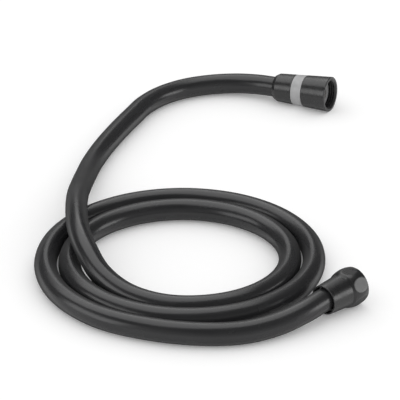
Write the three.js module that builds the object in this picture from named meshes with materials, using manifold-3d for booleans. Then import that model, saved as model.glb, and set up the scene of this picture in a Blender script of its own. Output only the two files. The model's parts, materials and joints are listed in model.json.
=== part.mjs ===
// Shower hose lying in two loose turns on a floor: a smooth round hose, a conical swivel fitting on the
// handset end and a faceted nut on the outlet end.
// Millimetres, +Z up, origin on the floor under the middle of the whole part.

import * as THREE from 'three';
import { mergeVertices } from 'three/addons/utils/BufferGeometryUtils.js';
import Module from 'manifold-3d';

const wasm = await Module();
wasm.setup();

// Driving dimensions of the hose
const HOSE_DIAMETER = 14;
const HOSE_BORE = 8;
const HOSE_SIDES = 12;
const HOSE_STEPS = 80;
const ARC_DIVISIONS_PER_POINT = 40;

// The coil: two turns that wind inwards, clockwise seen from above
const COIL_CENTRE = new THREE.Vector2(-8.1, -84.2);
const COIL_RADIUS = 90;
const COIL_TURNS = 2;
const COIL_START_DEG = 12;
const COIL_POINTS_PER_TURN = 15;
const STRAND_SPACE = 0.8;
const FLOOR_CLEARANCE = 0.1;

// Standard half-inch parallel pipe thread, left plain in both nuts at its minor diameter
const THREAD_MINOR_DIAMETER = 18.64;
const THREAD_MAJOR_DIAMETER = 20.96;

// Clearances
const SEAT_GAP = 0.3;
const RADIAL_GAP = 0.3;

// Round pieces: sides of the outer and of the hidden ones
const OUTER_SIDES = 40;
const INNER_SIDES = 28;

// Pieces that both ends share
const FERRULE_WALL = 0.7;
const FERRULE_RIB_DEPTH = 0.3;
const FERRULE_RIB_WIDTH = 1;
const FERRULE_RIBS = 3;
const WATERWAY_DIAMETER = 5.2;
const STEM_WALL = 0.75;
const BARB_COUNT = 4;
const STEM_TIP = 2;
const FLANGE_THICKNESS = 1.5;
const WASHER_THICKNESS = 2;
const WASHER_HOLE_DIAMETER = 11;
const EDGE_ROUND = 0.4;
const MERGE_DISTANCE = 1e-4;

// Handset fitting, measured along its axis from the rear edge of the sleeve
const HANDSET_PLACE = new THREE.Vector2(62.1, 251.6);
const HANDSET_HEADING_DEG = -26;
const HANDSET_LENGTH = 41.5;
const HANDSET_SHOULDER_DIAMETER = 19.6;
const HANDSET_MOUTH_DIAMETER = 24.4;
const SLEEVE_LENGTH = 15;
const SLEEVE_CHAMFER = 2.6;
const SLEEVE_REAR_WALL = 1;
const SLEEVE_LIP = 2.2;
const BAND_WIDTH = 7.7;
const BEARING_WALL = 1.6;
const NUT_LIP_LENGTH = 2.5;
const COLLAR_THICKNESS = 1.6;
const SWIVEL_TUBE_DIAMETER = 14;
const SWIVEL_TUBE_WALL = 1.75;
const HANDSET_WASHER_DEPTH = 5.5;
const HANDSET_HOSE_DEPTH = 13;
const O_RING_SECTION = 1.3;
const O_RING_SIDES = 10;
const O_RING_COUNT = 2;
const O_RING_SPACING = 4.5;
const O_RING_FIRST = 3.8;
const CLIP_THICKNESS = 1;
const CLIP_WALL = 1.4;
const CLIP_BITE = 0.45;
const CLIP_OPENING_DEG = 70;
const CLIP_END = 0.9;

// Outlet nut, measured along its axis from its rear edge
const OUTLET_PLACE = new THREE.Vector2(82, -59.5);
const OUTLET_HEADING_DEG = 45;
const OUTLET_LENGTH = 28.5;
const OUTLET_REAR_DIAMETER = 18.4;
const OUTLET_WAIST_DIAMETER = 20.4;
const OUTLET_WAIST = 15.8;
const BARREL_START = 17.2;
const BARREL_EDGE_DIAMETER = 22.4;
const BARREL_DIAMETER = 24;
const BARREL_STEPS = 10;
const FACET_COUNT = 6;
const ACROSS_FACETS = 22.2;
const OUTLET_HOSE_DEPTH = 13.5;
const OUTLET_FERRULE_START = 4;
const OUTLET_SHOULDER = 16.4;

// Sizes worked out from the ones above
const hoseRadius = HOSE_DIAMETER / 2;
const axisHeight = hoseRadius + FLOOR_CLEARANCE;
const coilPitch = HOSE_DIAMETER + STRAND_SPACE;
const ferruleInner = hoseRadius + RADIAL_GAP;
const ferruleOuter = ferruleInner + FERRULE_WALL;
const sleeveBore = ferruleOuter + RADIAL_GAP;
const threadRadius = THREAD_MINOR_DIAMETER / 2;
const mouthOpening = THREAD_MAJOR_DIAMETER / 2;
const mouthChamfer = mouthOpening - threadRadius;
const flangeRadius = threadRadius - RADIAL_GAP;
const waterway = WATERWAY_DIAMETER / 2;
const barbRoot = waterway + STEM_WALL;
const barbCrest = HOSE_BORE / 2 - RADIAL_GAP;
const shoulderRadius = HANDSET_SHOULDER_DIAMETER / 2;
const coneSlope = (HANDSET_MOUTH_DIAMETER / 2 - shoulderRadius) / (HANDSET_LENGTH - SLEEVE_CHAMFER);
const coneAngle = Math.atan(coneSlope);
const facetApothem = ACROSS_FACETS / 2;

const looks = {
  hose: new THREE.MeshStandardMaterial({ color: 0x303133, roughness: 0.42, metalness: 0 }),
  blackMetal: new THREE.MeshStandardMaterial({ color: 0x1d1e20, roughness: 0.35, metalness: 0.5 }),
  greyBand: new THREE.MeshStandardMaterial({ color: 0xa5a6a8, roughness: 0.5, metalness: 0 }),
  brass: new THREE.MeshStandardMaterial({ color: 0xb5924c, roughness: 0.35, metalness: 1 }),
  steel: new THREE.MeshStandardMaterial({ color: 0x9b9ea1, roughness: 0.35, metalness: 1 }),
  blackRubber: new THREE.MeshStandardMaterial({ color: 0x141414, roughness: 0.7, metalness: 0 }),
  greyRubber: new THREE.MeshStandardMaterial({ color: 0x6c6d6f, roughness: 0.75, metalness: 0 }),
};

function piece(name, geometry, material) {
  const mesh = new THREE.Mesh(geometry, material);
  mesh.name = name;
  return mesh;
}

// A body turned about the local Y axis. The profile is a closed loop of [station, radius] pairs.
function turned(profile, sides) {
  const points = profile.map(([station, radius]) => new THREE.Vector2(radius, station));
  points.push(points[0].clone());
  return new THREE.LatheGeometry(points, sides);
}

function toSolid(geometry) {
  const bare = geometry.clone();
  bare.deleteAttribute('normal');
  bare.deleteAttribute('uv');
  const merged = mergeVertices(bare, MERGE_DISTANCE);
  return new wasm.Manifold(new wasm.Mesh({
    numProp: 3,
    vertProperties: new Float32Array(merged.attributes.position.array),
    triVerts: new Uint32Array(merged.index.array),
  }));
}

function toGeometry(solid) {
  const mesh = solid.getMesh();
  const geometry = new THREE.BufferGeometry();
  geometry.setAttribute('position', new THREE.BufferAttribute(new Float32Array(mesh.vertProperties), 3));
  geometry.setIndex(new THREE.BufferAttribute(new Uint32Array(mesh.triVerts), 1));
  geometry.computeVertexNormals();
  return geometry;
}

function circlePoints(radius, sides) {
  const points = [];
  for (let i = 0; i < sides; i += 1) {
    const angle = (2 * Math.PI * i) / sides;
    points.push(new THREE.Vector2(radius * Math.cos(angle), radius * Math.sin(angle)));
  }
  return points;
}

// Frame of a fitting: local Y runs along the fitting towards its mouth, local Z leans up.
function fittingFrame(place, height, headingDeg, rise) {
  const heading = THREE.MathUtils.degToRad(headingDeg);
  const along = new THREE.Vector3(Math.cos(heading), Math.sin(heading), Math.tan(rise)).normalize();
  const side = new THREE.Vector3().crossVectors(along, new THREE.Vector3(0, 0, 1)).normalize();
  const up = new THREE.Vector3().crossVectors(side, along);
  const frame = new THREE.Group();
  frame.quaternion.setFromRotationMatrix(new THREE.Matrix4().makeBasis(side, along, up));
  frame.position.set(COIL_CENTRE.x + place.x, COIL_CENTRE.y + place.y, height);
  frame.updateMatrixWorld(true);
  return frame;
}

// The handset fitting lies on the line of its cone, and the outlet nut on one of its facets.
const handsetHeight = (shoulderRadius - SLEEVE_CHAMFER * coneSlope) * Math.cos(coneAngle);
const handset = fittingFrame(HANDSET_PLACE, handsetHeight, HANDSET_HEADING_DEG, coneAngle);
const outlet = fittingFrame(OUTLET_PLACE, facetApothem, OUTLET_HEADING_DEG, 0);

function onAxis(frame, station) {
  return frame.localToWorld(new THREE.Vector3(0, station, 0));
}

function coilPoints() {
  const points = [];
  const count = COIL_TURNS * COIL_POINTS_PER_TURN;
  for (let i = 0; i <= count; i += 1) {
    const turns = COIL_START_DEG / 360 + i / COIL_POINTS_PER_TURN;
    const radius = COIL_RADIUS - coilPitch * turns;
    const angle = 2 * Math.PI * turns;
    points.push(new THREE.Vector3(-radius * Math.sin(angle), -radius * Math.cos(angle), axisHeight));
  }
  return points;
}

// The lead from the outlet nut to the coil and the free end over it are chosen by hand,
// from the middle of the coil, with the height of the hose's axis.
const LEAD_POINTS = [
  [55, -82.2, 8.1], [36, -90.4, 7.1], [13.5, -93, 7.1],
];
const FREE_END_POINTS = [
  [-34.6, -48, 8.6], [-51.2, -30.2, 12.9], [-60.6, -10, 18.5], [-66.3, 11.4, 21.7],
  [-68.7, 36.3, 22.5], [-69, 59.8, 20.8], [-67.9, 83.8, 15.8], [-65.9, 108.8, 10.8],
  [-62.6, 133.3, 8], [-56.3, 158.3, 7.1], [-47.7, 183.3, 7.1], [-37.3, 209.3, 7.1],
  [-30, 226.1, 7.1], [-18.2, 242.2, 7.1], [-2.2, 254.4, 7.1], [15.4, 260.6, 7.3], [33.2, 261.6, 7.9],
];
const LEAD_STRAIGHT = 17;
const LEAD_DROP = 1.2;
const FREE_END_STRAIGHT = 14.5;

function hoseRoute() {
  const fromCoil = ([x, y, z]) => new THREE.Vector3(COIL_CENTRE.x + x, COIL_CENTRE.y + y, z);
  const leaving = onAxis(outlet, -LEAD_STRAIGHT);
  leaving.z -= LEAD_DROP;
  const points = [
    onAxis(outlet, OUTLET_HOSE_DEPTH),
    onAxis(outlet, 0),
    leaving,
    ...LEAD_POINTS.map(fromCoil),
    ...coilPoints().map((point) => fromCoil(point.toArray())),
    ...FREE_END_POINTS.map(fromCoil),
    onAxis(handset, -FREE_END_STRAIGHT),
    onAxis(handset, 0),
    onAxis(handset, HANDSET_HOSE_DEPTH),
  ];
  const curve = new THREE.CatmullRomCurve3(points, false, 'centripetal');
  curve.arcLengthDivisions = points.length * ARC_DIVISIONS_PER_POINT;
  return curve;
}

function hose() {
  const section = new THREE.Shape(circlePoints(hoseRadius, HOSE_SIDES));
  section.holes.push(new THREE.Path(circlePoints(HOSE_BORE / 2, HOSE_SIDES)));
  const geometry = new THREE.ExtrudeGeometry(section, {
    extrudePath: hoseRoute(), steps: HOSE_STEPS, bevelEnabled: false,
  });
  return piece('hose', geometry, looks.hose);
}

// A crimped sleeve round the hose end, with shallow ribs pressed into it
function ferrule(name, start, end) {
  const pitch = (end - start) / (FERRULE_RIBS + 1);
  const half = FERRULE_RIB_WIDTH / 2;
  const outside = [[start, ferruleOuter]];
  for (let i = 1; i <= FERRULE_RIBS; i += 1) {
    const middle = start + i * pitch;
    outside.push([middle - half, ferruleOuter]);
    outside.push([middle, ferruleOuter - FERRULE_RIB_DEPTH]);
    outside.push([middle + half, ferruleOuter]);
  }
  outside.push([end, ferruleOuter]);
  const profile = [[start, ferruleInner], ...outside, [end, ferruleInner]];
  return piece(name, turned(profile, INNER_SIDES), looks.steel);
}

// The outline of a barbed stem, from its tip inside the hose up to the collar
function barbs(tip, collar) {
  const pitch = (collar - tip) / (BARB_COUNT + 1);
  const outline = [[tip, waterway], [tip, barbRoot]];
  for (let i = 1; i <= BARB_COUNT; i += 1) {
    outline.push([tip + i * pitch, barbCrest], [tip + i * pitch, barbRoot]);
  }
  outline.push([collar, barbRoot]);
  return outline;
}

function washer(name, rear) {
  const profile = [
    [rear, WASHER_HOLE_DIAMETER / 2], [rear, flangeRadius],
    [rear + WASHER_THICKNESS, flangeRadius], [rear + WASHER_THICKNESS, WASHER_HOLE_DIAMETER / 2],
  ];
  return piece(name, turned(profile, INNER_SIDES), looks.greyRubber);
}

function addHandsetFitting() {
  const coneRadius = (station) => shoulderRadius + (station - SLEEVE_CHAMFER) * coneSlope;
  const sleeveFront = SLEEVE_LENGTH;
  const bandRear = sleeveFront + SEAT_GAP;
  const bandFront = bandRear + BAND_WIDTH;
  const nutRear = bandFront + SEAT_GAP;
  const washerRear = HANDSET_LENGTH - HANDSET_WASHER_DEPTH - WASHER_THICKNESS;
  const flangeFront = washerRear - SEAT_GAP;
  const flangeRear = flangeFront - FLANGE_THICKNESS;
  const lipFront = flangeRear - SEAT_GAP;
  const lipRear = lipFront - NUT_LIP_LENGTH;
  const hubFront = lipRear - SEAT_GAP;
  const tubeRadius = SWIVEL_TUBE_DIAMETER / 2;
  const tubeBore = tubeRadius - SWIVEL_TUBE_WALL;
  const bearingBore = tubeRadius + RADIAL_GAP;
  const hubRadius = bearingBore + BEARING_WALL;
  const spigot = tubeBore - RADIAL_GAP;
  const collarRear = HANDSET_HOSE_DEPTH + SEAT_GAP;
  const collarFront = collarRear + COLLAR_THICKNESS;
  const tubeRear = collarFront + SEAT_GAP;
  const spigotFront = flangeFront - CLIP_END;
  const clipFront = spigotFront - CLIP_END;
  const clipRear = clipFront - CLIP_THICKNESS;
  const clipStep = clipRear - SEAT_GAP;
  const clipInner = spigot - CLIP_BITE;
  const clipOuter = clipInner + CLIP_WALL;
  const clipPocket = clipOuter + RADIAL_GAP;
  const grooveRoot = tubeBore - O_RING_SECTION - 2 * RADIAL_GAP;
  const grooveHalf = O_RING_SECTION / 2 + RADIAL_GAP;
  const ringStations = [];
  for (let i = 0; i < O_RING_COUNT; i += 1) {
    ringStations.push(tubeRear + O_RING_FIRST + i * O_RING_SPACING);
  }

  const sleeve = [
    [0, ferruleInner], [0, ferruleInner + SLEEVE_REAR_WALL], [SLEEVE_CHAMFER, shoulderRadius],
    [sleeveFront, coneRadius(sleeveFront)], [sleeveFront, sleeveBore],
    [SLEEVE_LIP, sleeveBore], [SLEEVE_LIP, ferruleInner],
  ];
  handset.add(piece('handset_sleeve', turned(sleeve, OUTER_SIDES), looks.blackMetal));

  handset.add(ferrule('handset_ferrule', SLEEVE_LIP + SEAT_GAP, HANDSET_HOSE_DEPTH));

  const nipple = barbs(STEM_TIP, collarRear);
  nipple.push([collarRear, ferruleOuter], [collarFront, ferruleOuter], [collarFront, spigot]);
  for (const station of ringStations) {
    nipple.push([station - grooveHalf, spigot], [station - grooveHalf, grooveRoot]);
    nipple.push([station + grooveHalf, grooveRoot], [station + grooveHalf, spigot]);
  }
  const clipGroove = clipInner - RADIAL_GAP;
  nipple.push([clipStep, spigot], [clipStep, clipGroove], [clipFront + SEAT_GAP, clipGroove]);
  nipple.push([clipFront + SEAT_GAP, spigot], [spigotFront, spigot], [spigotFront, waterway]);
  handset.add(piece('handset_nipple', turned(nipple, INNER_SIDES), looks.brass));

  ringStations.forEach((station, i) => {
    const middle = (tubeBore + grooveRoot) / 2;
    const circle = circlePoints(O_RING_SECTION / 2, O_RING_SIDES);
    const section = circle.map((point) => [station + point.y, middle + point.x]);
    handset.add(piece(`swivel_o_ring_${i + 1}`, turned(section, INNER_SIDES), looks.blackRubber));
  });

  const clipShape = new THREE.Shape();
  const opening = THREE.MathUtils.degToRad(CLIP_OPENING_DEG);
  clipShape.absarc(0, 0, clipOuter, opening / 2, 2 * Math.PI - opening / 2, false);
  clipShape.absarc(0, 0, clipInner, 2 * Math.PI - opening / 2, opening / 2, true);
  const clip = new THREE.ExtrudeGeometry(clipShape, {
    depth: CLIP_THICKNESS, bevelEnabled: false, curveSegments: INNER_SIDES,
  });
  clip.rotateX(-Math.PI / 2);
  clip.translate(0, clipRear, 0);
  handset.add(piece('swivel_clip', clip, looks.steel));

  const bearing = [
    [bandRear, bearingBore], [bandRear, coneRadius(bandRear)], [bandFront, coneRadius(bandFront)],
    [bandFront, hubRadius], [hubFront, hubRadius], [hubFront, bearingBore],
  ];
  handset.add(piece('bearing_ring', turned(bearing, OUTER_SIDES), looks.greyBand));

  const tube = [
    [tubeRear, tubeBore], [tubeRear, tubeRadius], [flangeRear, tubeRadius], [flangeRear, flangeRadius],
    [flangeFront, flangeRadius], [flangeFront, clipPocket], [clipStep, clipPocket], [clipStep, tubeBore],
  ];
  handset.add(piece('swivel_tube', turned(tube, INNER_SIDES), looks.brass));

  handset.add(washer('handset_washer', washerRear));

  const mouthRadius = HANDSET_MOUTH_DIAMETER / 2;
  const nut = [
    [nutRear, hubRadius + RADIAL_GAP], [nutRear, coneRadius(nutRear)],
    [HANDSET_LENGTH - EDGE_ROUND, coneRadius(HANDSET_LENGTH - EDGE_ROUND)],
    [HANDSET_LENGTH, mouthRadius - EDGE_ROUND], [HANDSET_LENGTH, mouthOpening],
    [HANDSET_LENGTH - mouthChamfer, threadRadius], [lipFront, threadRadius],
    [lipFront, bearingBore], [lipRear, bearingBore], [lipRear, hubRadius + RADIAL_GAP],
  ];
  handset.add(piece('handset_nut', turned(nut, OUTER_SIDES), looks.blackMetal));
}

// The swelling of the outlet nut is an arc through both of its edges and its widest point.
function barrelArc() {
  const rise = (BARREL_DIAMETER - BARREL_EDGE_DIAMETER) / 2;
  const end = OUTLET_LENGTH - EDGE_ROUND;
  const half = (end - BARREL_START) / 2;
  const arcRadius = (half * half + rise * rise) / (2 * rise);
  const points = [];
  for (let i = 0; i <= BARREL_STEPS; i += 1) {
    const offset = -half + (2 * half * i) / BARREL_STEPS;
    const drop = arcRadius - Math.sqrt(arcRadius * arcRadius - offset * offset);
    points.push([BARREL_START + half + offset, BARREL_DIAMETER / 2 - drop]);
  }
  return points;
}

function outletNut() {
  const nut = [
    [0, sleeveBore], [0, OUTLET_REAR_DIAMETER / 2], [OUTLET_WAIST, OUTLET_WAIST_DIAMETER / 2],
    ...barrelArc(),
    [OUTLET_LENGTH, BARREL_EDGE_DIAMETER / 2 - EDGE_ROUND], [OUTLET_LENGTH, mouthOpening],
    [OUTLET_LENGTH - mouthChamfer, threadRadius], [OUTLET_SHOULDER, threadRadius],
    [OUTLET_SHOULDER, sleeveBore],
  ];
  const corner = facetApothem / Math.cos(Math.PI / FACET_COUNT);
  const hexagon = new THREE.Shape(circlePoints(corner, FACET_COUNT));
  const overrun = OUTLET_LENGTH / 2;
  const depth = OUTLET_LENGTH + 2 * overrun;
  const prism = new THREE.ExtrudeGeometry(hexagon, { depth, bevelEnabled: false });
  prism.rotateX(-Math.PI / 2);
  prism.translate(0, -overrun, 0);
  const faceted = toSolid(turned(nut, OUTER_SIDES)).intersect(toSolid(prism));
  return piece('outlet_nut', toGeometry(faceted), looks.blackMetal);
}

function addOutletFitting() {
  const collarRear = OUTLET_HOSE_DEPTH + SEAT_GAP;
  const flangeRear = OUTLET_SHOULDER + SEAT_GAP;
  const flangeFront = flangeRear + FLANGE_THICKNESS;
  outlet.add(outletNut());
  outlet.add(ferrule('outlet_ferrule', OUTLET_FERRULE_START, OUTLET_HOSE_DEPTH));
  const insert = barbs(STEM_TIP, collarRear);
  insert.push([collarRear, ferruleOuter], [flangeRear, ferruleOuter], [flangeRear, flangeRadius]);
  insert.push([flangeFront, flangeRadius], [flangeFront, waterway]);
  outlet.add(piece('outlet_insert', turned(insert, INNER_SIDES), looks.brass));
  outlet.add(washer('outlet_washer', flangeFront + SEAT_GAP));
}

addHandsetFitting();
addOutletFitting();

const showerHose = new THREE.Group();
showerHose.add(hose(), handset, outlet);

export default showerHose;
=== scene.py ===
import json
import math

import bpy
import numpy as np
from mathutils import Matrix, Vector


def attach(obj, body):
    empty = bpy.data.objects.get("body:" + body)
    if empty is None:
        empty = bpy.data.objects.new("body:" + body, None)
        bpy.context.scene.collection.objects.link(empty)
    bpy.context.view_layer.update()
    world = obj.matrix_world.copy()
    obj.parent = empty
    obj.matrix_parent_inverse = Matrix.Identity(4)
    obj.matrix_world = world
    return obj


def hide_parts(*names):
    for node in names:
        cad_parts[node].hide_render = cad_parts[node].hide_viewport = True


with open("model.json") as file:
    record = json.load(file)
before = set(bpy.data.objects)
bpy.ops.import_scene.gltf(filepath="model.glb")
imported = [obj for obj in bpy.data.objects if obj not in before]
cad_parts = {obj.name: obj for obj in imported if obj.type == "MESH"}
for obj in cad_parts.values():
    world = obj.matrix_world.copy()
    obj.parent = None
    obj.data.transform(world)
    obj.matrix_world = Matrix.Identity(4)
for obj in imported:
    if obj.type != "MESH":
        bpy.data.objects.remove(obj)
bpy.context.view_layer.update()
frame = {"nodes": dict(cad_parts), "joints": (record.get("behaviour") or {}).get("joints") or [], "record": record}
joints = {joint["name"]: joint for joint in frame["joints"]}
MM = 0.001

# Camera, at the photograph's angle
CAMERA_TARGET = Vector((0.0005, 0.0106, 0.0))
CAMERA_DISTANCE = 1.7
CAMERA_ELEVATION = math.radians(26.8)
CAMERA_LENS = 235.6
CAMERA_SENSOR = 36.0
CAMERA_CLIP_START = 0.05
CAMERA_CLIP_END = 40.0

# The hose and its route, with the same points as in the solids' source
HOSE_RADIUS = 0.007
HOSE_BORE_RADIUS = 0.004
HOSE_SIDES = 40
HOSE_STEPS = 600
COIL_CENTRE = (-0.0081, -0.0842)
COIL_RADIUS = 0.090
COIL_PITCH = 0.0148
COIL_TURNS = 2
COIL_START = 12 / 360
COIL_POINTS_PER_TURN = 15
AXIS_HEIGHT = 0.0071
LEAD_POINTS = [
    (0.055, -0.0822, 0.0081), (0.036, -0.0904, 0.0071), (0.0135, -0.093, 0.0071),
]
FREE_END_POINTS = [
    (-0.0346, -0.048, 0.0086), (-0.0512, -0.0302, 0.0129), (-0.0606, -0.01, 0.0185),
    (-0.0663, 0.0114, 0.0217), (-0.0687, 0.0363, 0.0225), (-0.069, 0.0598, 0.0208),
    (-0.0679, 0.0838, 0.0158), (-0.0659, 0.1088, 0.0108), (-0.0626, 0.1333, 0.008),
    (-0.0563, 0.1583, 0.0071), (-0.0477, 0.1833, 0.0071), (-0.0373, 0.2093, 0.0071),
    (-0.03, 0.2261, 0.0071), (-0.0182, 0.2422, 0.0071), (-0.0022, 0.2544, 0.0071),
    (0.0154, 0.2606, 0.0073), (0.0332, 0.2616, 0.0079),
]
LEAD_STRAIGHT = 0.017
LEAD_DROP = 0.0012
FREE_END_STRAIGHT = 0.0145
OUTLET_HOSE_DEPTH = 0.0135
HANDSET_HOSE_DEPTH = 0.013
CURVE_DIVISIONS = 40

# Half-inch pipe thread
THREAD_PITCH = 1.814 * MM
THREAD_MINOR_RADIUS = 9.32 * MM
THREAD_DEPTH = 1.16 * MM


class Fitting:
    """The axis of one end of the hose. Station 0 is its rear edge, and stations grow towards its mouth."""

    def __init__(self, joint):
        along = Vector(joint["axis"]).normalized()
        side = along.cross(Vector((0, 0, 1))).normalized()
        turn = Matrix((side, along, side.cross(along))).transposed()
        self.matrix = Matrix.Translation(Vector(joint["pos_m"])) @ turn.to_4x4()
        self.inverse = self.matrix.inverted()

    def at(self, station):
        return self.matrix @ Vector((0, station, 0))

    def local(self, node):
        return [self.inverse @ vertex.co for vertex in frame["nodes"][node].data.vertices]


handset = Fitting(joints["handset_swivel"])
outlet = Fitting(joints["outlet_nut_spin"])


def make_camera():
    back = Vector((0, -math.cos(CAMERA_ELEVATION), math.sin(CAMERA_ELEVATION)))
    data = bpy.data.cameras.new("camera")
    data.lens = CAMERA_LENS
    data.sensor_width = CAMERA_SENSOR
    data.clip_start = CAMERA_CLIP_START
    data.clip_end = CAMERA_CLIP_END
    camera = bpy.data.objects.new("camera", data)
    camera.location = CAMERA_TARGET + back * CAMERA_DISTANCE
    camera.rotation_euler = (-back).to_track_quat("-Z", "Y").to_euler()
    bpy.context.scene.collection.objects.link(camera)
    bpy.context.scene.camera = camera


def mesh_object(name, points, faces):
    mesh = bpy.data.meshes.new(name)
    mesh.from_pydata([tuple(point) for point in points], [], faces)
    mesh.update()
    mesh.shade_smooth()
    piece = bpy.data.objects.new(name, mesh)
    bpy.context.scene.collection.objects.link(piece)
    return piece


def through(points):
    """A centripetal Catmull-Rom curve through the points, as many close points on it."""
    knots = np.array(points, float)
    knots = np.vstack([2 * knots[0] - knots[1], knots, 2 * knots[-1] - knots[-2]])
    stretches = []
    for before, start, end, after in zip(knots, knots[1:], knots[2:], knots[3:]):
        gap = [math.sqrt(np.linalg.norm(b - a)) for a, b in ((before, start), (start, end), (end, after))]
        leave = (start - before) / gap[0] - (end - before) / (gap[0] + gap[1]) + (end - start) / gap[1]
        arrive = (end - start) / gap[1] - (after - start) / (gap[1] + gap[2]) + (after - end) / gap[2]
        leave, arrive = leave * gap[1], arrive * gap[1]
        t = np.linspace(0, 1, CURVE_DIVISIONS, endpoint=False)[:, None]
        square = -3 * start + 3 * end - 2 * leave - arrive
        cube = 2 * start - 2 * end + leave + arrive
        stretches.append(start + leave * t + square * t**2 + cube * t**3)
    return np.vstack([*stretches, knots[-2]])


def evenly(line, count):
    """The line again as count equal steps, and the length along it at each of their ends."""
    steps = np.linalg.norm(np.diff(line, axis=0), axis=1)
    along = np.concatenate([[0], np.cumsum(steps)])
    at = np.linspace(0, along[-1], count + 1)
    return np.stack([np.interp(at, along, line[:, k]) for k in range(3)], axis=1), at


def coil_points():
    points = []
    for i in range(COIL_TURNS * COIL_POINTS_PER_TURN + 1):
        turns = COIL_START + i / COIL_POINTS_PER_TURN
        radius = COIL_RADIUS - COIL_PITCH * turns
        angle = 2 * math.pi * turns
        points.append((-radius * math.sin(angle), -radius * math.cos(angle), AXIS_HEIGHT))
    return points


def hose_route():
    """The middle of the hose, from inside one end fitting to inside the other, and the length along it."""
    from_coil = [*LEAD_POINTS, *coil_points(), *FREE_END_POINTS]
    middle = [(COIL_CENTRE[0] + x, COIL_CENTRE[1] + y, z) for x, y, z in from_coil]
    leaving = outlet.at(-LEAD_STRAIGHT) - Vector((0, 0, LEAD_DROP))
    first = [outlet.at(OUTLET_HOSE_DEPTH), outlet.at(0), leaving]
    last = [handset.at(-FREE_END_STRAIGHT), handset.at(0), handset.at(HANDSET_HOSE_DEPTH)]
    return evenly(through([*first, *middle, *last]), HOSE_STEPS)


def tube_faces(rings, sides):
    """Faces of a tube with a bore. Its outer rings of points come first, then as many rings of the bore."""
    bore = rings * sides
    last = (rings - 1) * sides
    faces = []
    for i in range(sides):
        j = (i + 1) % sides
        for here in range(0, last, sides):
            onward = here + sides
            faces.append((here + i, here + j, onward + j, onward + i))
            faces.append((bore + here + j, bore + here + i, bore + onward + i, bore + onward + j))
        faces.append((j, i, bore + i, bore + j))
        faces.append((last + i, last + j, bore + last + j, bore + last + i))
    return faces


def make_hose():
    """A tube with a bore. Its vertices also hold where they would be on the hose laid out straight."""
    line, along = hose_route()
    ahead = np.gradient(line, axis=0)
    ahead /= np.linalg.norm(ahead, axis=1)[:, None]
    side = np.cross(ahead, (0, 0, 1))
    side /= np.linalg.norm(side, axis=1)[:, None]
    up = np.cross(side, ahead)
    angles = 2 * math.pi * np.arange(HOSE_SIDES) / HOSE_SIDES
    rings, straight = [], []
    for radius in (HOSE_RADIUS, HOSE_BORE_RADIUS):
        x, y = radius * np.cos(angles), radius * np.sin(angles)
        rings.append(line[:, None] + x[None, :, None] * side[:, None] + y[None, :, None] * up[:, None])
        straight.append(np.stack(np.broadcast_arrays(along[:, None], x[None], y[None]), axis=-1))
    points = np.concatenate([ring.reshape(-1, 3) for ring in rings])
    hose = mesh_object("smooth_hose", points, tube_faces(len(line), HOSE_SIDES))
    laid_out = hose.data.attributes.new("laid_out", "FLOAT_VECTOR", "POINT")
    laid_out.data.foreach_set("vector", np.concatenate([s.reshape(-1, 3) for s in straight]).ravel())
    return hose, line


# The outlet nut, from its rear edge to its mouth
OUTLET_LENGTH = 28.5 * MM
OUTLET_BORE_RADIUS = 8.3 * MM
OUTLET_REAR_RADIUS = 9.2 * MM
OUTLET_WAIST = 15.8 * MM
OUTLET_WAIST_RADIUS = 10.2 * MM
OUTLET_SHOULDER = 16.4 * MM
BARREL_START = 17.2 * MM
BARREL_END = 28.1 * MM
BARREL_EDGE_RADIUS = 11.2 * MM
BARREL_RADIUS = 12 * MM
BARREL_STEPS = 40
FACET_COUNT = 6
FACET_APOTHEM = 11.1 * MM
FACET_EDGE_ROUND = 0.12 * MM
FIRST_FACET = math.radians(30)

# Turned pieces. Corners that turn by less than SMOOTH_TURN stay as they are. The others get a fillet, which
# takes at most FILLET_ROOM of the shorter edge, with a supporting ring up to SUPPORT away on both sides.
SAME_RING = 0.02 * MM
SMOOTH_TURN = math.radians(14)
FILLET_ROOM = 0.4
FILLET_STEPS = 4
SUPPORT = 0.08 * MM
THREAD_RUN_IN = 1.5 * MM

# Fillet and sides of each turned piece, and the steps that the threaded ones' outlines are cut into
HANDSET_PIECES = {
    "handset_sleeve": (0.3 * MM, 128),
    "handset_ferrule": (0.2 * MM, 64),
    "handset_nipple": (0.12 * MM, 64),
    "swivel_o_ring_1": (0.1 * MM, 64),
    "swivel_o_ring_2": (0.1 * MM, 64),
    "bearing_ring": (0.15 * MM, 128),
    "swivel_tube": (0.15 * MM, 64),
    "handset_washer": (0.25 * MM, 64),
}
OUTLET_PIECES = {
    "outlet_ferrule": (0.2 * MM, 64),
    "outlet_insert": (0.12 * MM, 64),
    "outlet_washer": (0.25 * MM, 64),
}
HANDSET_NUT_FILLET = 0.3 * MM
HANDSET_NUT_SIDES = 160
HANDSET_NUT_STEP = 0.2 * MM
OUTLET_NUT_FILLET = 0.35 * MM
OUTLET_NUT_SIDES = 240
OUTLET_NUT_STEP = 0.25 * MM
CLIP_FILLET = 0.15 * MM
CLIP_SIDES = 64
CLIP_OPENING = math.radians(70)


def outline_of(node, fitting):
    """The closed outline of a turned solid about a fitting's axis, as corners (station, radius) in order."""
    rings, ring_of = [], []
    for point in fitting.local(node):
        place = (point.y, math.hypot(point.x, point.z))
        known = [i for i, ring in enumerate(rings) if math.dist(ring, place) < SAME_RING]
        if not known:
            rings.append(place)
        ring_of.append(known[0] if known else len(rings) - 1)
    beside = [set() for _ in rings]
    for polygon in frame["nodes"][node].data.polygons:
        met = {ring_of[vertex] for vertex in polygon.vertices}
        for ring in met:
            beside[ring] |= met - {ring}
    order = [0]
    while True:
        onward = sorted(beside[order[-1]] - set(order))
        if not onward:
            break
        order.append(onward[0])
    return facing_out([rings[i] for i in order])


def facing_out(corners):
    """The corners anticlockwise, with stations to the right and radii up, so the body is on their left."""
    area = sum(a[0] * b[1] - b[0] * a[1] for a, b in zip(corners, corners[1:] + corners[:1]))
    return corners if area > 0 else corners[::-1]


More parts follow.
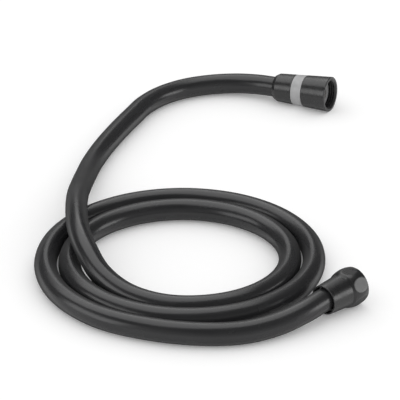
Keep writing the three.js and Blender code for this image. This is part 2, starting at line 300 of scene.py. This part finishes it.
def rounded(corners, fillet):
    """The outline with every real corner rounded, as points (station, radius, share of an outer edge)."""
    places = [Vector(corner) for corner in corners]
    points = []
    for before, corner, after in zip(places[-1:] + places[:-1], places, places[1:] + places[:1]):
        back, ahead = before - corner, after - corner
        turn = math.pi - back.angle(ahead)
        if turn < SMOOTH_TURN:
            points.append((*corner, 0.0))
            continue
        room = FILLET_ROOM * min(back.length, ahead.length)
        cut = min(fillet * math.tan(turn / 2), room)
        start, end = corner + back.normalized() * cut, corner + ahead.normalized() * cut
        outer = 1.0 if back.cross(ahead) < 0 else 0.0
        points.append((*(start + back.normalized() * min(SUPPORT, room - cut / 2)), 0.0))
        for k in range(FILLET_STEPS + 1):
            t = k / FILLET_STEPS
            place = start * (1 - t) ** 2 + corner * 2 * t * (1 - t) + end * t**2
            points.append((*place, outer * 4 * t * (1 - t)))
        points.append((*(end + ahead.normalized() * min(SUPPORT, room - cut / 2)), 0.0))
    return points


def divided(points, step):
    """The outline with its long edges cut into steps."""
    fine = []
    for point, after in zip(points, points[1:] + points[:1]):
        count = max(1, math.ceil(math.dist(point[:2], after[:2]) / step))
        for k in range(count):
            t = k / count
            fine.append(tuple(a + (b - a) * t for a, b in zip(point, after)))
    return fine


def turned(name, fitting, points, sides, shaped=None, gap=0.0):
    """The outline turned about a fitting's axis, but for a gap. shaped() gives the final radii."""
    count = len(points)
    turns = sides + 1 if gap else sides
    angles = gap / 2 + (2 * math.pi - gap) * np.arange(turns) / sides
    station, radius, edge = (np.broadcast_to(row, (turns, count)) for row in np.array(points).T)
    if shaped:
        radius = shaped(station, angles[:, None], radius)
    x, z = radius * np.cos(angles)[:, None], radius * np.sin(angles)[:, None]
    places = np.stack([x, station, z], axis=-1).reshape(-1, 3)
    faces = []
    for i in range(sides):
        a, b = i * count, (i + 1) % turns * count
        faces += [(a + k, b + k, b + (k + 1) % count, a + (k + 1) % count) for k in range(count)]
    if gap:
        faces.append(tuple(range(count)))
        faces.append(tuple(range(turns * count - 1, (turns - 1) * count - 1, -1)))
    piece = mesh_object(name, places, faces)
    piece.matrix_world = fitting.matrix
    outer_edge = piece.data.attributes.new("outer_edge", "FLOAT", "POINT")
    outer_edge.data.foreach_set("value", edge.astype(np.float32).ravel())
    return piece


def thread(start, end):
    """What cuts a right-hand thread into a bore between two stations, for turned()."""
    def shaped(station, angle, radius):
        bore = (np.abs(radius - THREAD_MINOR_RADIUS) < SAME_RING) & (station > start) & (station < end)
        wave = 0.5 - 0.5 * np.cos(2 * math.pi * station / THREAD_PITCH + angle)
        run_in = np.clip((station - start) / THREAD_RUN_IN, 0, 1)
        return radius + np.where(bore, THREAD_DEPTH * wave * run_in, 0)
    return shaped


def faceted(angle, radius):
    """The radii with the barrel of the outlet nut flattened into round facets with soft edges."""
    spacing = 2 * math.pi / FACET_COUNT
    off = (angle - FIRST_FACET + spacing / 2) % spacing - spacing / 2
    flat = FACET_APOTHEM / np.cos(off)
    gap = np.clip(0.5 + (flat - radius) / (4 * FACET_EDGE_ROUND), 0, 1)
    lower = radius * gap + flat * (1 - gap) - 2 * FACET_EDGE_ROUND * gap * (1 - gap)
    return np.where(radius > FACET_APOTHEM - FACET_EDGE_ROUND, lower, radius)


def outlet_nut_outline():
    """The outlet nut's outline as corners (station, radius), with its barrel as a smooth arc."""
    rise = BARREL_RADIUS - BARREL_EDGE_RADIUS
    half = (BARREL_END - BARREL_START) / 2
    arc = (half**2 + rise**2) / (2 * rise)
    mouth = THREAD_MINOR_RADIUS + THREAD_DEPTH
    corners = [
        (0, OUTLET_BORE_RADIUS), (OUTLET_SHOULDER, OUTLET_BORE_RADIUS),
        (OUTLET_SHOULDER, THREAD_MINOR_RADIUS), (OUTLET_LENGTH - THREAD_DEPTH, THREAD_MINOR_RADIUS),
        (OUTLET_LENGTH, mouth), (OUTLET_LENGTH, BARREL_EDGE_RADIUS - OUTLET_LENGTH + BARREL_END),
    ]
    for offset in np.linspace(half, -half, BARREL_STEPS + 1):
        sunk = arc - math.sqrt(arc**2 - offset**2)
        corners.append((BARREL_START + half + offset, BARREL_RADIUS - sunk))
    return [*corners, (OUTLET_WAIST, OUTLET_WAIST_RADIUS), (0, OUTLET_REAR_RADIUS)]


# Looks: heights of the bumps
HOSE_SWELL = 0.05 * MM
HOSE_LINES = 0.008 * MM
HOSE_GRAIN = 0.006 * MM
COAT_PEEL = 0.006 * MM
COAT_GRIT = 0.002 * MM
BAND_GRAIN = 0.014 * MM
BAND_CLOUD = 0.02 * MM
LATHE_RINGS = 0.008 * MM
RUBBER_SPECKS = 0.02 * MM
RUBBER_BLOOM = 0.03 * MM

# Most of a noise's values lie between these two
NOISE_LOW = 0.3
NOISE_HIGH = 0.7

# The Layer Weight node's blend, and its values from which and at which a surface counts as grazing
GRAZING_BLEND = 0.5
GRAZING_START = 0.55
GRAZING_FULL = 0.85

METAL_ROUGHNESS_RANGE = 0.12

# Places of the colour sockets among those of the Mix node
MIX_FIRST_COLOUR = 6
MIX_SECOND_COLOUR = 7
MIX_COLOUR_RESULT = 2


class Nodes:
    """A node tree in the making. Its nodes are linked as they are made."""

    def __init__(self, tree):
        self.tree = tree

    def feed(self, socket, value):
        if isinstance(value, bpy.types.NodeSocket):
            self.tree.links.new(value, socket)
        else:
            socket.default_value = value

    def node(self, kind, settings=(), **inputs):
        made = self.tree.nodes.new("ShaderNode" + kind)
        for name, value in dict(settings).items():
            setattr(made, name, value)
        for name, value in inputs.items():
            self.feed(made.inputs[name.replace("_", " ")], value)
        return made

    def combined(self, operation, first, second):
        made = self.node("Math", {"operation": operation})
        self.feed(made.inputs[0], first)
        self.feed(made.inputs[1], second)
        return made.outputs["Value"]

    def ranged(self, value, low, high, to_low=0, to_high=1):
        """The value, with the range from low to high taken to the other range and held at its ends."""
        sockets = {"From_Min": low, "From_Max": high, "To_Min": to_low, "To_Max": to_high}
        return self.node("MapRange", Value=value, **sockets).outputs["Result"]


class Look(Nodes):
    """A material in the making."""

    def __init__(self, name, **shader):
        self.material = bpy.data.materials.new(name)
        self.material.use_nodes = True
        super().__init__(self.material.node_tree)
        self.shader = self.tree.nodes["Principled BSDF"]
        for socket, value in shader.items():
            self.feed(self.shader.inputs[socket.replace("_", " ")], value)

    def attribute(self, name, output):
        return self.node("Attribute", {"attribute_name": name}).outputs[output]

    def own_place(self):
        return self.node("TexCoord").outputs["Object"]

    def noise(self, vector, scale, detail=2.0):
        return self.node("TexNoise", Vector=vector, Scale=scale, Detail=detail).outputs["Fac"]

    def stretched_noise(self, vector, scales, detail):
        """Noise with a scale of its own along each axis."""
        stretched = self.node("Mapping", Vector=vector, Scale=scales).outputs["Vector"]
        return self.noise(stretched, 1, detail)

    def spread(self, noise, to_low, to_high):
        return self.ranged(noise, NOISE_LOW, NOISE_HIGH, to_low, to_high)

    def grazing(self, rise):
        """Rises from 0 to the given value where the surface is seen at a grazing angle."""
        facing = self.node("LayerWeight", Blend=GRAZING_BLEND).outputs["Facing"]
        return self.ranged(facing, GRAZING_START, GRAZING_FULL, 0, rise)

    def blended(self, share, first, second):
        made = self.node("Mix", {"data_type": "RGBA"})
        self.feed(made.inputs["Factor"], share)
        self.feed(made.inputs[MIX_FIRST_COLOUR], first)
        self.feed(made.inputs[MIX_SECOND_COLOUR], second)
        return made.outputs[MIX_COLOUR_RESULT]

    def bumps(self, *layers):
        """Each layer is a height from 0 to 1 and what 1 is in metres."""
        normal = None
        for height, distance in layers:
            made = self.node("Bump", Height=height, Distance=distance)
            if normal:
                self.feed(made.inputs["Normal"], normal)
            normal = made.outputs["Normal"]
        self.feed(self.shader.inputs["Normal"], normal)

    def colour(self, socket):
        self.feed(self.shader.inputs["Base Color"], socket)

    def roughness(self, socket):
        self.feed(self.shader.inputs["Roughness"], socket)


def grey(level, blue=1.0):
    return (level, level, level * blue, 1.0)


def hose_look():
    """Soft black plastic: faint lines from the extruder's die, a fine grain, smears and a little dust."""
    look = Look("hose_plastic", IOR=1.43)
    place = look.attribute("laid_out", "Vector")
    smear = look.stretched_noise(place, scales=(40, 160, 160), detail=3)
    lines = look.stretched_noise(place, scales=(4, 1500, 1500), detail=3)
    swell = look.stretched_noise(place, scales=(30, 70, 70), detail=1)
    grain = look.noise(place, scale=3500)
    specks = look.node("TexVoronoi", Vector=place, Scale=420.0).outputs["Distance"]
    patches = look.ranged(look.noise(place, scale=55, detail=3), low=0.5, high=0.75, to_high=0.6)
    dust = look.combined("MULTIPLY", look.ranged(specks, low=0.05, high=0.1, to_low=1, to_high=0), patches)
    plain = look.blended(look.spread(smear, 0, 1), grey(0.017, blue=1.06), grey(0.022, blue=1.05))
    look.colour(look.blended(dust, plain, grey(0.11)))
    look.roughness(look.combined("ADD", look.spread(smear, 0.23, 0.29), look.grazing(rise=0.7)))
    look.bumps((swell, HOSE_SWELL), (lines, HOSE_LINES), (grain, HOSE_GRAIN))
    return look.material


def black_coat_look():
    """Satin black coating on metal, paler in patches along its outer edges: partly real wear, partly a painted
    highlight.
    """
    look = Look("black_coat", IOR=1.5)
    place = look.own_place()
    peel = look.noise(place, scale=1300, detail=1)
    grit = look.noise(place, scale=5200)
    smear = look.stretched_noise(place, scales=(160, 420, 160), detail=3)
    patches = look.ranged(look.noise(place, scale=420, detail=4), low=0.42, high=0.7, to_low=0.12)
    edge_wear_and_highlight = look.combined("MULTIPLY", look.attribute("outer_edge", "Fac"), patches)
    # Pale grey in patches along the convex edges: partly real wear of the coat, partly a painted highlight
    look.colour(look.blended(edge_wear_and_highlight, grey(0.0125, blue=1.04), grey(0.11, blue=1.02)))
    look.roughness(look.combined("ADD", look.spread(smear, 0.25, 0.32), look.grazing(rise=0.6)))
    look.bumps((peel, COAT_PEEL), (grit, COAT_GRIT))
    return look.material


def pale_band_look():
    """Light grey moulded plastic with a fine spark-eroded grain."""
    look = Look("pale_band", IOR=1.46)
    place = look.own_place()
    grain = look.noise(place, scale=4200)
    cloud = look.noise(place, scale=260, detail=3)
    look.colour(look.blended(look.ranged(cloud, low=0.35, high=0.65), grey(0.34), grey(0.38, blue=1.01)))
    look.roughness(look.spread(grain, 0.4, 0.5))
    look.bumps((grain, BAND_GRAIN), (cloud, BAND_CLOUD))
    return look.material


def turned_metal_look(name, dark, light, rough):
    """Metal with the fine rings that a lathe leaves, and faint stains."""
    look = Look(name, Metallic=1.0)
    place = look.own_place()
    rings = look.stretched_noise(place, scales=(90, 9000, 90), detail=2)
    stain = look.noise(place, scale=300, detail=4)
    look.colour(look.blended(look.ranged(stain, low=0.35, high=0.7), dark, light))
    look.roughness(look.spread(rings, rough, rough + METAL_ROUGHNESS_RANGE))
    look.bumps((rings, LATHE_RINGS))
    return look.material


def rubber_look(name, dark, light, speckle):
    """Dull rubber with a dusty bloom and a speckled, slightly pitted face."""
    look = Look(name, IOR=1.48)
    place = look.own_place()
    bloom = look.noise(place, scale=380, detail=4)
    specks = look.noise(place, scale=speckle)
    look.colour(look.blended(look.ranged(specks, low=0.45, high=0.62), dark, light))
    look.roughness(look.spread(bloom, 0.58, 0.8))
    look.bumps((specks, RUBBER_SPECKS), (bloom, RUBBER_BLOOM))
    return look.material


# Light: an even fill for the surfaces, and a white floor and backdrop for the rays that show them
FILL = 1.0
STUDIO_DIM = 0.1
BACKDROP_TOP = math.sin(math.radians(1))
BACKDROP_FADE = math.sin(math.radians(4))
FRONT_TOP = math.sin(math.radians(46))
FRONT_FULL = -0.6
FRONT_LEVEL = 0.75
FLOOR_HALF = 6.0
FLOOR_LEVEL = 0.9
FLOOR_GLOW = 0.15
FLOOR_ROUGHNESS = 0.9

# Place, size and level of each softbox, where a level of 1 is white
SOFTBOXES = {
    "softbox_above": ((-0.3, 0.5, 1.52), (1.8, 1.9), 2.2),
    "softbox_back": ((-0.16, 1.63, 1.0), (0.62, 0.76), 0.95),
    "softbox_right": ((1.6, -0.1, 0.31), (0.9, 0.62), 4.2),
    "softbox_left": ((-1.38, -0.52, 0.56), (1.4, 0.8), 2.6),
}


def showing_rays(nodes):
    """Switches for rays from the camera, and for those together with rays off a gloss or through glass."""
    light_path = nodes.node("LightPath").outputs
    from_camera = light_path["Is Camera Ray"]
    showing = nodes.combined("MAXIMUM", from_camera, light_path["Is Glossy Ray"])
    return from_camera, nodes.combined("MAXIMUM", showing, light_path["Is Transmission Ray"])


def make_world():
    """An even light on the surfaces, and white for the camera. A gloss shows a dim studio instead, with a
    white strip of backdrop low down all round and a front that brightens towards the floor."""
    world = bpy.data.worlds.new("studio")
    world.use_nodes = True
    nodes = Nodes(world.node_tree)
    from_camera, showing = showing_rays(nodes)
    place = nodes.node("TexCoord").outputs["Generated"]
    direction = nodes.node("SeparateXYZ", Vector=place).outputs
    backdrop = nodes.ranged(direction["Z"], BACKDROP_TOP + BACKDROP_FADE, BACKDROP_TOP)
    lower = nodes.ranged(direction["Z"], FRONT_TOP, 0, to_high=FRONT_LEVEL)
    ahead = nodes.ranged(direction["Y"], 0, FRONT_FULL)
    bright = nodes.combined("MAXIMUM", backdrop, nodes.combined("MULTIPLY", lower, ahead))
    white = nodes.combined("MAXIMUM", bright, from_camera)
    added = nodes.combined("ADD", nodes.combined("MULTIPLY", white, 1 - STUDIO_DIM), STUDIO_DIM - FILL)
    level = nodes.combined("ADD", nodes.combined("MULTIPLY", added, showing), FILL)
    background = world.node_tree.nodes["Background"]
    nodes.feed(background.inputs["Strength"], level)
    nodes.feed(background.inputs["Color"], grey(1.0))
    bpy.context.scene.world = world


def make_floor():
    """A plain white floor that keeps the shadows, lifted to the backdrop's white for what sees it."""
    corners = [(x * FLOOR_HALF, y * FLOOR_HALF, 0) for x, y in ((-1, -1), (1, -1), (1, 1), (-1, 1))]
    floor = mesh_object("floor", corners, [(0, 1, 2, 3)])
    look = Look("floor", Base_Color=grey(FLOOR_LEVEL), Roughness=FLOOR_ROUGHNESS, Specular_IOR_Level=0.0)
    look.feed(look.shader.inputs["Emission Color"], grey(1.0))
    _, showing = showing_rays(look)
    look.feed(look.shader.inputs["Emission Strength"], look.combined("MULTIPLY", showing, FLOOR_GLOW))
    floor.data.materials.append(look.material)


def make_softbox(name, place, size, level):
    """A rectangular lamp of an even level that faces the middle of the floor. The camera doesn't see it, and
    it adds no light to matt surfaces."""
    data = bpy.data.lights.new(name, "AREA")
    data.shape = "RECTANGLE"
    data.size, data.size_y = size
    data.energy = level * math.pi * size[0] * size[1]
    lamp = bpy.data.objects.new(name, data)
    lamp.location = place
    lamp.rotation_euler = (-Vector(place)).to_track_quat("-Z", "Y").to_euler()
    lamp.visible_camera = False
    lamp.visible_diffuse = False
    bpy.context.scene.collection.objects.link(lamp)


bpy.context.scene.view_settings.view_transform = "Standard"
make_camera()
make_world()
make_floor()
for name, (place, size, level) in SOFTBOXES.items():
    make_softbox(name, place, size, level)

looks = {
    "hose_plastic": hose_look(),
    "black_metal": black_coat_look(),
    "grey_band": pale_band_look(),
    "brass": turned_metal_look("turned_brass", (0.42, 0.26, 0.09, 1), (0.58, 0.4, 0.16, 1), rough=0.26),
    "steel": turned_metal_look("plain_steel", grey(0.38), grey(0.5, blue=1.02), rough=0.3),
    "black_rubber": rubber_look("black_rubber", grey(0.01), grey(0.02), speckle=2600),
    "grey_rubber": rubber_look("grey_rubber", grey(0.2), grey(0.3, blue=1.02), speckle=2200),
}
body_of = {node: body for body, nodes in frame["record"]["behaviour"]["bodies"].items() for node in nodes}
slot_of = {part["node"]: part["material_slot"] for part in frame["record"]["subparts"]}


def dress(piece, node):
    """The piece takes the solid's place and body, and the look of the solid's slot."""
    piece.data.materials.append(looks[slot_of[node]])
    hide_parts(node)
    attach(piece, body_of[node])


def front_of(node, fitting):
    """The station of a solid's front end."""
    return max(point.y for point in fitting.local(node))


def make_plain_pieces():
    """The turned pieces without a thread, whose outlines are read from their solids."""
    for fitting, pieces in ((handset, HANDSET_PIECES), (outlet, OUTLET_PIECES)):
        for node, (fillet, sides) in pieces.items():
            outline = rounded(outline_of(node, fitting), fillet)
            dress(turned("fine_" + node, fitting, outline, sides), node)


def make_handset_nut():
    outline = divided(rounded(outline_of("handset_nut", handset), HANDSET_NUT_FILLET), HANDSET_NUT_STEP)
    front = max(point[0] for point in outline)
    threaded = thread(front_of("handset_washer", handset) - THREAD_RUN_IN, front)
    dress(turned("fine_handset_nut", handset, outline, HANDSET_NUT_SIDES, threaded), "handset_nut")


def make_outlet_nut():
    outline = divided(rounded(facing_out(outlet_nut_outline()), OUTLET_NUT_FILLET), OUTLET_NUT_STEP)
    threaded = thread(front_of("outlet_washer", outlet) - THREAD_RUN_IN, OUTLET_LENGTH)

    def shaped(station, angle, radius):
        return faceted(angle, threaded(station, angle, radius))

    dress(turned("fine_outlet_nut", outlet, outline, OUTLET_NUT_SIDES, shaped), "outlet_nut")


def make_clip():
    """The open ring that keeps the swivel tube on its spigot."""
    places = [(point.y, math.hypot(point.x, point.z)) for point in handset.local("swivel_clip")]
    (rear, inner), (fore, outer) = np.min(places, axis=0), np.max(places, axis=0)
    outline = rounded([(rear, inner), (fore, inner), (fore, outer), (rear, outer)], CLIP_FILLET)
    dress(turned("fine_swivel_clip", handset, outline, CLIP_SIDES, gap=CLIP_OPENING), "swivel_clip")


hose, hose_line = make_hose()
dress(hose, "hose")
make_plain_pieces()
make_handset_nut()
make_outlet_nut()
make_clip()
